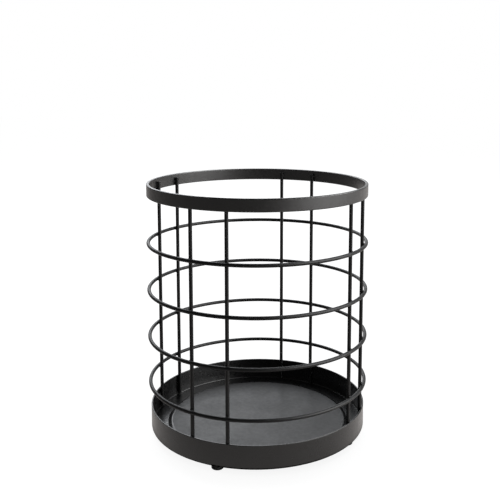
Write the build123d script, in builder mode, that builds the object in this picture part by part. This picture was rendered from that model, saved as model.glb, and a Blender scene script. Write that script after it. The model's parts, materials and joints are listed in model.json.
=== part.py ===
from build123d import *

import os
from math import asin, degrees

# A round utensil holder: a welded wire cage round a pressed tray, with a flat rim band and four stick-on feet.
# Millimetres, +Z up. The origin is on the table, under the middle of the holder.

# Cage: the rings, the rim band and the tray wall all have their inner face at the cage radius
cage_radius = 73.9
wire_diameter = 2.5
weld_depth = 0.15  # how far an upright is pressed into what it is welded to

# Rings
ring_count = 4
first_ring_height = 32.7  # ring centre above the tray's underside
ring_spacing = 32.6

# Rim band
rim_gap = 32.4  # from the last ring's centre to the band's lower edge
rim_height = 8.4
rim_thickness = 2.0

# Uprights, in pairs
pair_spacing = 25.0  # between the two wires of a pair
upright_end_drop = 2.6  # from the band's top edge down to the wire ends
wire_end_share = 0.1  # chamfer of a cut wire end, of the wire diameter

# Tray, pressed from one sheet
tray_height = 16.2
sheet_thickness = 1.0
tray_bend_radius = 0.6  # inside the bend between wall and ledge
floor_rise = 1.2  # from the ledge up to the floor
step_run = 2.2  # sloping width of that step
step_bend_radius = 0.6
edge_round_share = 0.3  # rounding of the band's and the tray's cut edges, of their thickness

# Feet
foot_diameter = 8.0
foot_height = 4.0
foot_inset = 1.3  # flat ledge between a foot and the wall's bend
foot_margin = 0.6  # flat ledge between a foot and the step
foot_offset = 3.3  # of a foot's centre to one side of the middle of its pair
foot_round_share = 0.2  # rounding of a foot's lower edge, of its height

# The four sides where a pair of uprights and a foot stand, with their directions
side_angles = {"right": 0, "back": 90, "left": 180, "front": 270}

# Places worked out from the sizes
wire_radius = wire_diameter / 2
ring_radius = cage_radius + wire_radius
upright_circle_radius = cage_radius + weld_depth - wire_radius
pair_half_angle = degrees(asin(pair_spacing / 2 / upright_circle_radius))

tray_underside = foot_height
ledge_top = tray_underside + sheet_thickness
floor_top = ledge_top + floor_rise
tray_top = tray_underside + tray_height
ledge_width = tray_bend_radius + foot_inset + foot_diameter + foot_margin
ledge_inner_radius = cage_radius - ledge_width
floor_radius = ledge_inner_radius - step_run
foot_circle_radius = ledge_inner_radius + foot_margin + foot_diameter / 2
foot_turn = degrees(asin(foot_offset / foot_circle_radius))
foot_turns = {"right": -foot_turn, "back": foot_turn, "left": -foot_turn, "front": foot_turn}

ring_heights = [tray_underside + first_ring_height + i * ring_spacing for i in range(ring_count)]
rim_bottom = ring_heights[-1] + rim_gap
rim_top = rim_bottom + rim_height
upright_bottom = ledge_top + tray_bend_radius
upright_top = rim_top - upright_end_drop


def level_plane(angle, radius, height):
    """A level plane with its origin on a circle about the holder's axis."""
    return Plane(Vector(radius, 0, height).rotate(Axis.Z, angle))


def save(piece, name):
    """Labels a finished piece and writes it to its own file."""
    piece.part.label = name
    export_step(piece.part, f"parts/{name}.step")


os.makedirs("parts", exist_ok=True)

# Rim band: a flat strip with rounded edges, rolled into a hoop
with BuildPart() as rim_band:
    with BuildSketch(Plane.XZ):
        with Locations((cage_radius + rim_thickness / 2, rim_bottom + rim_height / 2)):
            RectangleRounded(rim_thickness, rim_height, edge_round_share * rim_thickness)
    revolve(axis=Axis.Z)
save(rim_band, "rim_band")

# Rings: closed hoops of round wire, numbered from the lowest
rings = []
for ring_number, ring_height in enumerate(ring_heights, start=1):
    with BuildPart() as ring:
        with BuildSketch(Plane.XZ):
            with Locations((ring_radius, ring_height)):
                Circle(wire_radius)
        revolve(axis=Axis.Z)
    save(ring, f"ring_{ring_number}")
    rings.append(ring)

# Tray: one bent sheet, drawn along its upper face from the axis out to the top of the wall
with BuildPart() as tray:
    with BuildSketch(Plane.XZ):
        with BuildLine():
            FilletPolyline(
                (0, floor_top),
                (floor_radius, floor_top),
                (ledge_inner_radius, ledge_top),
                (cage_radius, ledge_top),
                (cage_radius, tray_top),
                radius=[step_bend_radius + sheet_thickness, step_bend_radius, tray_bend_radius],
            )
            offset(amount=sheet_thickness, side=Side.RIGHT)
        make_face()
    revolve(axis=Axis.Z)
    fillet(tray.edges().group_by(Axis.Z)[-1], edge_round_share * sheet_thickness)
save(tray, "tray")

# Uprights: straight wires, cut to the faces that they are welded against
for side, side_angle in side_angles.items():
    for wire_number, turn in enumerate((-pair_half_angle, pair_half_angle), start=1):
        with BuildPart() as upright:
            with BuildSketch(level_plane(side_angle + turn, upright_circle_radius, upright_bottom)):
                Circle(wire_radius)
            extrude(amount=upright_top - upright_bottom)
            chamfer(upright.edges().filter_by(GeomType.CIRCLE), wire_end_share * wire_diameter)
            for welded in (rim_band, tray, *rings):
                add(welded.part, mode=Mode.SUBTRACT)
        save(upright, f"upright_{side}_{wire_number}")

# Feet: round pads with a softened lower edge, stuck under the tray's ledge
for side, side_angle in side_angles.items():
    with BuildPart() as foot:
        with BuildSketch(level_plane(side_angle + foot_turns[side], foot_circle_radius, 0)):
            Circle(foot_diameter / 2)
        extrude(amount=foot_height)
        fillet(foot.edges().group_by(Axis.Z)[0], foot_round_share * foot_height)
    save(foot, f"foot_{side}")
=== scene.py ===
import json
from math import cos, pi, radians, sin

import bmesh
import bpy
from mathutils import Matrix, Vector


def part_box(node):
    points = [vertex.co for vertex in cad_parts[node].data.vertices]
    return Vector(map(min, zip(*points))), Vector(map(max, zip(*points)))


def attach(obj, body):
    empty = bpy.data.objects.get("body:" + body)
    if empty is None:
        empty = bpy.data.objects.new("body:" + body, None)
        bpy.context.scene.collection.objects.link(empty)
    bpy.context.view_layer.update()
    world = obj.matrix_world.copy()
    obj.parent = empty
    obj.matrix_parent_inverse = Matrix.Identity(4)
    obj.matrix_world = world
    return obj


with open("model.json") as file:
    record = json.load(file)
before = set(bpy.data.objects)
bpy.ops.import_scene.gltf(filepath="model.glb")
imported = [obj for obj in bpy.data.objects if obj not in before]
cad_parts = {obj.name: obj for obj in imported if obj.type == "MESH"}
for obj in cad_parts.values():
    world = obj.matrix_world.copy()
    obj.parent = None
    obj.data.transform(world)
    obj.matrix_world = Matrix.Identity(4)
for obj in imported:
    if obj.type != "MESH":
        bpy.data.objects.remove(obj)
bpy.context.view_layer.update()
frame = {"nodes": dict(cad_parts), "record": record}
scene = bpy.context.scene

# A round wire utensil holder in satin black powder coat, in a white studio.
# Metres, +Z up, as in the frame.
MM = 0.001

# Camera: fitted to the rings, the rim band, the tray and the uprights of the photograph
CAMERA_TURN = radians(23.43)  # about +Z, from straight in front of the holder
CAMERA_DISTANCE = 530.9 * MM  # from the holder's axis, measured level along the line of sight
CAMERA_SIDE = 13.4 * MM  # to the right of that line
CAMERA_HEIGHT = 248.0 * MM  # above the table
CAMERA_PITCH = radians(7.33)  # looking down
CAMERA_ROLL = radians(0.1445)
CAMERA_LENS = 55.99  # focal length in millimetres
CAMERA_SENSOR = 36  # width in millimetres
CAMERA_SHIFT = (-0.0542, -0.1497)
CAMERA_CLIP = 10 * MM

# Noise of the materials
NOISE_SPAN = (0.3, 0.7)  # where most of a noise's values lie
NOISE_DETAIL = 2.0
CLOUD_DETAIL = 3.0
SCUFF_DETAIL = 4.0

# Powder coat
WIRE_COAT = {"roughness": 0.44, "specular": 0.25, "peel_depth": 0.004 * MM}
BAND_COAT = {"roughness": 0.38, "specular": 0.7, "peel_depth": 0.006 * MM}
SHEET_COAT = {"roughness": 0.3, "specular": 0.5, "peel_depth": 0.008 * MM}
COAT_COLOUR = (0.002, 0.002, 0.0021)
COAT_CLOUD_COLOUR = (0.0035, 0.0035, 0.0037)
COAT_CLOUD_SIZE = 9 * MM
COAT_GLOSS_SIZE = 3 * MM
COAT_GLOSS_SPREAD = 0.03  # of the roughness, up and down
COAT_PEEL_SIZE = 0.9 * MM
COAT_PEEL_STRENGTH = 0.3

# Scuffs of the tray's raised floor
SCUFF_EDGE = 0.8 * MM  # over which the scuffs end at the floor's edge
SCUFF_DEPTH = 0.3 * MM  # below the floor's top, where they end too
SCUFF_SIZE = 14 * MM
SCUFF_DULLING = (0.17, 0.23)  # added roughness
TRAY_WALL_GAP = 1 * MM  # from the tray's wall inward, clear of its bend
TRAY_FLATNESS = 0.01 * MM  # how level the points of the raised floor lie

# Rubber of the feet
RUBBER_COLOUR = (0.004, 0.004, 0.004)
RUBBER_DUSTY_COLOUR = (0.009, 0.009, 0.009)
RUBBER_ROUGHNESS = (0.6, 0.75)
RUBBER_CLOUD_SIZE = 2 * MM
RUBBER_GLOSS_SIZE = 1 * MM
RUBBER_GRAIN_SIZE = 0.4 * MM
RUBBER_GRAIN_DEPTH = 0.03 * MM
RUBBER_GRAIN_STRENGTH = 0.5

# Weld beads, as half sizes: across the contact, along the ring and along the upright
CROSS_BEAD = (0.7 * MM, 1.5 * MM, 1.5 * MM)
TOP_BEAD = (0.5 * MM, 1.5 * MM, 2.4 * MM)
WALL_BEAD = (0.5 * MM, 1.5 * MM, 3.5 * MM)
BEAD_SEGMENTS = 20
BEAD_RINGS = 12

# Floor of the studio
WHITE = (1.0, 1.0, 1.0)
FLOOR_RADIUS = 4.0
FLOOR_SEGMENTS = 96
FLOOR_GLOW = 0.89  # part of the floor's white that no shadow reaches
FLOOR_COLOUR = (0.2, 0.2, 0.2)  # part of the floor's white that takes the shadow
# In reflections the floor glows with painted light: a painted light side, a painted dim side and the
# tray's painted shadow around its foot.
FLOOR_REFLECTED = (1.0, 0.95, 0.92)  # floor in reflections, on its light side
FLOOR_DIM_LEVEL = 0.33  # share of that which is left on its dim side
FLOOR_LIGHT_TURN = radians(120)  # to its light side, from the camera's side
FLOOR_FADE = (-0.3, 0.12)  # from its dim to its light side, measured from the axis
FLOOR_PAINTED_SHADOW_FADE = (74 * MM, 82 * MM)  # distances from the axis over which the tray's painted shadow ends there

# World of the studio
SKY_DIFFUSE = 0.55
BACKDROP_FADE = (0.75, 0.95)  # share of a direction toward the backdrop, from the dim sides to the white
DIM_SIDE_LEVEL = 0.08
CEILING_FADE = (sin(radians(45)), sin(radians(85)))  # share of a direction upward
CEILING_LEVEL = 0.4

# Soft box beside the camera, which only reflections show
SIDE_BOX_TURN = radians(75)  # from the camera's side
SIDE_BOX_RISE = radians(25)  # above level
SIDE_BOX_FADE = (cos(radians(45)), cos(radians(20)))  # share of a direction toward its middle
SIDE_BOX_LEVEL = 7.0

# Soft boxes behind the holder, each turned so far from the camera's side
KEY_LAMP = {"turn": radians(-160), "height": 0.8, "distance": 0.9, "size": 0.9, "power": 8}
FILL_LAMP = {"turn": radians(140), "height": 1.0, "distance": 0.8, "size": 0.8, "power": 4}
LAMP_COLOUR = (0.93, 0.96, 1.0)
LAMP_AIM_HEIGHT = 80 * MM

# Sockets of a Mix node that mixes colours
MIX_FIRST_INPUT = 6
MIX_SECOND_INPUT = 7
MIX_OUTPUT = 2


def level_direction(turn):
    """The level direction that is turned so far from the camera's side of the holder."""
    return Vector((sin(CAMERA_TURN + turn), -cos(CAMERA_TURN + turn), 0))


def side_box_direction():
    """The direction from the holder to the middle of the soft box beside the camera."""
    return cos(SIDE_BOX_RISE) * level_direction(SIDE_BOX_TURN) + Vector((0, 0, sin(SIDE_BOX_RISE)))


def add_node(tree, kind, **settings):
    """A new node in a tree; the settings are properties of the node."""
    node = tree.nodes.new(kind)
    for name, value in settings.items():
        setattr(node, name, value)
    return node


def feed(tree, socket, value):
    """Gives an input socket a plain number or the value of an output socket."""
    if isinstance(value, (int, float)):
        socket.default_value = value
    else:
        tree.links.new(value, socket)


def math_node(tree, operation, first, second):
    """A Math node whose two inputs are sockets or plain numbers; gives its output socket."""
    node = add_node(tree, "ShaderNodeMath", operation=operation)
    feed(tree, node.inputs[0], first)
    feed(tree, node.inputs[1], second)
    return node.outputs[0]


def map_range(tree, value, source, target):
    """Maps a socket smoothly from one range to another; gives the output socket."""
    node = add_node(tree, "ShaderNodeMapRange", interpolation_type="SMOOTHSTEP")
    tree.links.new(value, node.inputs["Value"])
    for name, number in zip(("From Min", "From Max", "To Min", "To Max"), (*source, *target)):
        node.inputs[name].default_value = number
    return node.outputs["Result"]


def place_of(tree):
    """The object's own coordinates, which are the frame's."""
    return add_node(tree, "ShaderNodeTexCoord").outputs["Object"]


def height_of(tree, vector):
    """The upward part of a vector socket."""
    parts = add_node(tree, "ShaderNodeSeparateXYZ")
    tree.links.new(vector, parts.inputs[0])
    return parts.outputs["Z"]


def reach_toward(tree, vector, direction):
    """How far a vector socket reaches in a direction."""
    node = add_node(tree, "ShaderNodeVectorMath", operation="DOT_PRODUCT")
    node.inputs[1].default_value = direction
    tree.links.new(vector, node.inputs[0])
    return node.outputs["Value"]


def distance_from_axis(tree, place):
    """How far a place socket is from the holder's axis."""
    flat = add_node(tree, "ShaderNodeVectorMath", operation="MULTIPLY")
    flat.inputs[1].default_value = (1, 1, 0)
    tree.links.new(place, flat.inputs[0])
    node = add_node(tree, "ShaderNodeVectorMath", operation="LENGTH")
    tree.links.new(flat.outputs[0], node.inputs[0])
    return node.outputs["Value"]


def white_background(tree, strength):
    """A white Background shader whose strength is a socket or a plain number."""
    node = add_node(tree, "ShaderNodeBackground")
    node.inputs["Color"].default_value = (*WHITE, 1)
    feed(tree, node.inputs["Strength"], strength)
    return node.outputs[0]


def emission(tree, colour, strength):
    """An Emission shader whose strength is a socket or a plain number."""
    node = add_node(tree, "ShaderNodeEmission")
    node.inputs["Color"].default_value = (*colour, 1)
    feed(tree, node.inputs["Strength"], strength)
    return node.outputs[0]


def mix_shaders(tree, factor, first, second):
    """A Mix Shader node, from the first shader at factor nought to the second at one."""
    node = add_node(tree, "ShaderNodeMixShader")
    for slot, socket in enumerate((factor, first, second)):
        tree.links.new(socket, node.inputs[slot])
    return node.outputs[0]


def seen_straight(tree, path):
    """One for what the camera sees, also through something clear, and nought in reflections and light."""
    return math_node(tree, "ADD", path.outputs["Is Camera Ray"], path.outputs["Is Transmission Ray"])


def make_world():
    """White for the camera; reflections show a backdrop, a dim ceiling, dim sides and the side box."""
    world = bpy.data.worlds.new("studio")
    world.use_nodes = True
    tree = world.node_tree
    tree.nodes.clear()
    direction = add_node(tree, "ShaderNodeTexCoord").outputs["Generated"]
    toward_back = reach_toward(tree, direction, level_direction(pi))
    side_level = map_range(tree, toward_back, BACKDROP_FADE, (DIM_SIDE_LEVEL, 1.0))
    height_level = map_range(tree, height_of(tree, direction), CEILING_FADE, (1.0, CEILING_LEVEL))
    room = math_node(tree, "MULTIPLY", side_level, height_level)
    toward_box = reach_toward(tree, direction, side_box_direction())
    side_box = map_range(tree, toward_box, SIDE_BOX_FADE, (0.0, SIDE_BOX_LEVEL))
    reflected = white_background(tree, math_node(tree, "ADD", room, side_box))
    path = add_node(tree, "ShaderNodeLightPath")
    lighting = white_background(tree, SKY_DIFFUSE)
    bounced = mix_shaders(tree, path.outputs["Is Glossy Ray"], lighting, reflected)
    surface = mix_shaders(tree, seen_straight(tree, path), bounced, white_background(tree, 1.0))
    output = add_node(tree, "ShaderNodeOutputWorld")
    tree.links.new(surface, output.inputs["Surface"])
    scene.world = world


def floor_material():
    """White with a faint shadow for the camera; reflections show a painted light side, a painted dim side
    and a painted shadow of the tray.
    """
    material = bpy.data.materials.new("studio_floor")
    material.use_nodes = True
    tree = material.node_tree
    tree.nodes.clear()
    path = add_node(tree, "ShaderNodeLightPath")
    glow = emission(tree, WHITE, math_node(tree, "MULTIPLY", seen_straight(tree, path), FLOOR_GLOW))
    shaded = add_node(tree, "ShaderNodeBsdfDiffuse")
    shaded.inputs["Color"].default_value = (*FLOOR_COLOUR, 1)
    seen = add_node(tree, "ShaderNodeAddShader")
    tree.links.new(glow, seen.inputs[0])
    tree.links.new(shaded.outputs[0], seen.inputs[1])
    place = place_of(tree)
    # Painted shadow of the tray and painted light side of the floor, as reflections see it
    painted_tray_shadow = map_range(tree, distance_from_axis(tree, place), FLOOR_PAINTED_SHADOW_FADE, (0.0, 1.0))
    across = reach_toward(tree, place, level_direction(FLOOR_LIGHT_TURN))
    painted_light_side = map_range(tree, across, FLOOR_FADE, (FLOOR_DIM_LEVEL, 1.0))
    reflected = emission(tree, FLOOR_REFLECTED, math_node(tree, "MULTIPLY", painted_tray_shadow, painted_light_side))
    surface = mix_shaders(tree, path.outputs["Is Glossy Ray"], seen.outputs[0], reflected)
    output = add_node(tree, "ShaderNodeOutputMaterial")
    tree.links.new(surface, output.inputs["Surface"])
    return material


def make_floor():
    """A round floor under the holder."""
    mesh = bpy.data.meshes.new("studio_floor")
    sheet = bmesh.new()
    bmesh.ops.create_circle(sheet, cap_ends=True, segments=FLOOR_SEGMENTS, radius=FLOOR_RADIUS)
    sheet.to_mesh(mesh)
    sheet.free()
    mesh.materials.append(floor_material())
    floor = bpy.data.objects.new("studio_floor", mesh)
    scene.collection.objects.link(floor)


def add_lamp(name, turn, height, distance, size, power):
    """A square soft box that faces the holder."""
    data = bpy.data.lights.new(name, "AREA")
    data.shape = "SQUARE"
    data.size = size
    data.energy = power
    data.color = LAMP_COLOUR
    lamp = bpy.data.objects.new(name, data)
    place = distance * level_direction(turn) + Vector((0, 0, height))
    aim = Vector((0, 0, LAMP_AIM_HEIGHT)) - place
    lamp.matrix_world = Matrix.Translation(place) @ aim.to_track_quat("-Z", "Y").to_matrix().to_4x4()
    lamp.visible_camera = False
    scene.collection.objects.link(lamp)


def make_camera():
    """The camera at the photograph's viewpoint."""
    data = bpy.data.cameras.new("photo_camera")
    data.sensor_width = CAMERA_SENSOR
    data.lens = CAMERA_LENS
    data.shift_x, data.shift_y = CAMERA_SHIFT
    data.clip_start = CAMERA_CLIP
    camera = bpy.data.objects.new("photo_camera", data)
    turn = Matrix.Rotation(CAMERA_TURN, 4, "Z")
    place = Matrix.Translation((CAMERA_SIDE, -CAMERA_DISTANCE, CAMERA_HEIGHT))
    tilt = Matrix.Rotation(pi / 2 - CAMERA_PITCH, 4, "X")
    roll = Matrix.Rotation(CAMERA_ROLL, 4, "Z")
    camera.matrix_world = turn @ place @ tilt @ roll
    scene.collection.objects.link(camera)
    scene.camera = camera


def new_material(name):
    """A material with a Principled shader; gives the material, its tree and the shader."""
    material = bpy.data.materials.new(name)
    material.use_nodes = True
    tree = material.node_tree
    return material, tree, tree.nodes["Principled BSDF"]


def noise(tree, size, detail=NOISE_DETAIL):
    """A noise over the object's own coordinates, with blobs about so many metres across."""
    texture = add_node(tree, "ShaderNodeTexNoise")
    texture.inputs["Scale"].default_value = 1 / size
    texture.inputs["Detail"].default_value = detail
    tree.links.new(place_of(tree), texture.inputs["Vector"])
    return texture.outputs["Fac"]


def bump(tree, height, distance, strength):
    """The normal of a surface that a height socket raises by up to a distance."""
    node = add_node(tree, "ShaderNodeBump")
    node.inputs["Distance"].default_value = distance
    node.inputs["Strength"].default_value = strength
    tree.links.new(height, node.inputs["Height"])
    return node.outputs["Normal"]


def colour_between(tree, factor, first, second):
    """The first colour at factor nought, passing into the second at one."""
    node = add_node(tree, "ShaderNodeMix", data_type="RGBA")
    tree.links.new(factor, node.inputs["Factor"])
    node.inputs[MIX_FIRST_INPUT].default_value = (*first, 1)
    node.inputs[MIX_SECOND_INPUT].default_value = (*second, 1)
    return node.outputs[MIX_OUTPUT]


def powder_coat(name, roughness, specular, peel_depth):
    """Satin black powder coat: cloudy gloss, a faint orange peel and slightly uneven black."""
    material, tree, shader = new_material(name)
    cloud = map_range(tree, noise(tree, COAT_CLOUD_SIZE, CLOUD_DETAIL), NOISE_SPAN, (0.0, 1.0))
    colour = colour_between(tree, cloud, COAT_COLOUR, COAT_CLOUD_COLOUR)
    tree.links.new(colour, shader.inputs["Base Color"])
    gloss_range = (roughness - COAT_GLOSS_SPREAD, roughness + COAT_GLOSS_SPREAD)
    gloss = map_range(tree, noise(tree, COAT_GLOSS_SIZE), NOISE_SPAN, gloss_range)
    tree.links.new(gloss, shader.inputs["Roughness"])
    shader.inputs["Specular IOR Level"].default_value = specular
    peel = bump(tree, noise(tree, COAT_PEEL_SIZE), peel_depth, COAT_PEEL_STRENGTH)
    tree.links.new(peel, shader.inputs["Normal"])
    return material


def scuff_floor(material, radius, height):
    """Dulls a coat on the tray's raised floor, which has this radius and this height."""
    tree = material.node_tree
    roughness = tree.nodes["Principled BSDF"].inputs["Roughness"]
    gloss = roughness.links[0].from_socket
    place = place_of(tree)
    inside = map_range(tree, distance_from_axis(tree, place), (radius - SCUFF_EDGE, radius), (1.0, 0.0))
    on_top = math_node(tree, "GREATER_THAN", height_of(tree, place), height - SCUFF_DEPTH)
    patchy = map_range(tree, noise(tree, SCUFF_SIZE, SCUFF_DETAIL), NOISE_SPAN, SCUFF_DULLING)
    scuffs = math_node(tree, "MULTIPLY", math_node(tree, "MULTIPLY", inside, on_top), patchy)
    tree.links.new(math_node(tree, "ADD", gloss, scuffs), roughness)


def foot_rubber():
    """Matt black rubber with a little dust in its grain."""
    material, tree, shader = new_material("foot_rubber")
    cloud = noise(tree, RUBBER_CLOUD_SIZE, CLOUD_DETAIL)
    colour = colour_between(tree, cloud, RUBBER_COLOUR, RUBBER_DUSTY_COLOUR)
    tree.links.new(colour, shader.inputs["Base Color"])
    gloss = map_range(tree, noise(tree, RUBBER_GLOSS_SIZE), NOISE_SPAN, RUBBER_ROUGHNESS)
    tree.links.new(gloss, shader.inputs["Roughness"])
    grain = bump(tree, noise(tree, RUBBER_GRAIN_SIZE), RUBBER_GRAIN_DEPTH, RUBBER_GRAIN_STRENGTH)
    tree.links.new(grain, shader.inputs["Normal"])
    return material


def cage_radius():
    """Radius of the inner side of the rings, which the uprights are welded against."""
    low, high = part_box("ring_1")
    wire = high[2] - low[2]
    return high[0] - wire


def tray_floor():
    """Radius and height of the flat top of the tray's raised floor, read from the tray's mesh."""
    wall_radius = cage_radius() - TRAY_WALL_GAP
    points = [vertex.co for vertex in frame["nodes"]["tray"].data.vertices]
    inside = [point for point in points if point.xy.length < wall_radius]
    height = max(point.z for point in inside)
    radius = max(point.xy.length for point in inside if height - point.z < TRAY_FLATNESS)
    return radius, height


def dress_nodes(by_slot, by_name):
    """Gives each CAD node the material of its name, or else of its slot."""
    for subpart in frame["record"]["subparts"]:
        name = subpart["node"]
        materials = frame["nodes"][name].data.materials
        materials.clear()
        materials.append(by_name.get(name, by_slot[subpart["material_slot"]]))


def add_weld_beads(material):
    """Small beads where the uprights are welded to the rings, the rim band and the tray wall."""
    names = list(frame["nodes"])
    rings = [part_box(name) for name in names if name.startswith("ring_")]
    ring_levels = [(low[2] + high[2]) / 2 for low, high in rings]
    band_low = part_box("rim_band")[0][2]
    wall_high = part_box("tray")[1][2]
    weld_radius = cage_radius()
    sheet = bmesh.new()
    for name in names:
        if not name.startswith("upright_"):
            continue
        low, high = (Vector(corner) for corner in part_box(name))
        outward = ((low + high) / 2).xy.normalized()
        clockwise_turn = Vector((1, 0)).angle_signed(outward, 0)
        welds = [(CROSS_BEAD, level) for level in ring_levels]
        welds.append((TOP_BEAD, (band_low + high.z) / 2))
        welds.append((WALL_BEAD, (low.z + wall_high) / 2))
        for half_sizes, level in welds:
            place = Matrix.Translation((*(weld_radius * outward), level))
            shape = Matrix.Rotation(-clockwise_turn, 4, "Z") @ Matrix.Diagonal((*half_sizes, 1))
            bmesh.ops.create_uvsphere(
                sheet, u_segments=BEAD_SEGMENTS, v_segments=BEAD_RINGS, radius=1, matrix=place @ shape
            )
    for face in sheet.faces:
        face.smooth = True
    mesh = bpy.data.meshes.new("weld_beads")
    sheet.to_mesh(mesh)
    sheet.free()
    mesh.materials.append(material)
    beads = bpy.data.objects.new("weld_beads", mesh)
    scene.collection.objects.link(beads)
    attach(beads, "root")


make_camera()
make_world()
make_floor()
add_lamp("key_lamp", **KEY_LAMP)
add_lamp("fill_lamp", **FILL_LAMP)

wire_coat = powder_coat("wire_coat", **WIRE_COAT)
sheet_coat = powder_coat("sheet_coat", **SHEET_COAT)
scuff_floor(sheet_coat, *tray_floor())
dress_nodes(
    {"coated_steel": wire_coat, "coated_sheet": sheet_coat, "rubber_foot": foot_rubber()},
    {"rim_band": powder_coat("band_coat", **BAND_COAT)},
)
add_weld_beads(wire_coat)
scene.view_settings.view_transform = "Standard"
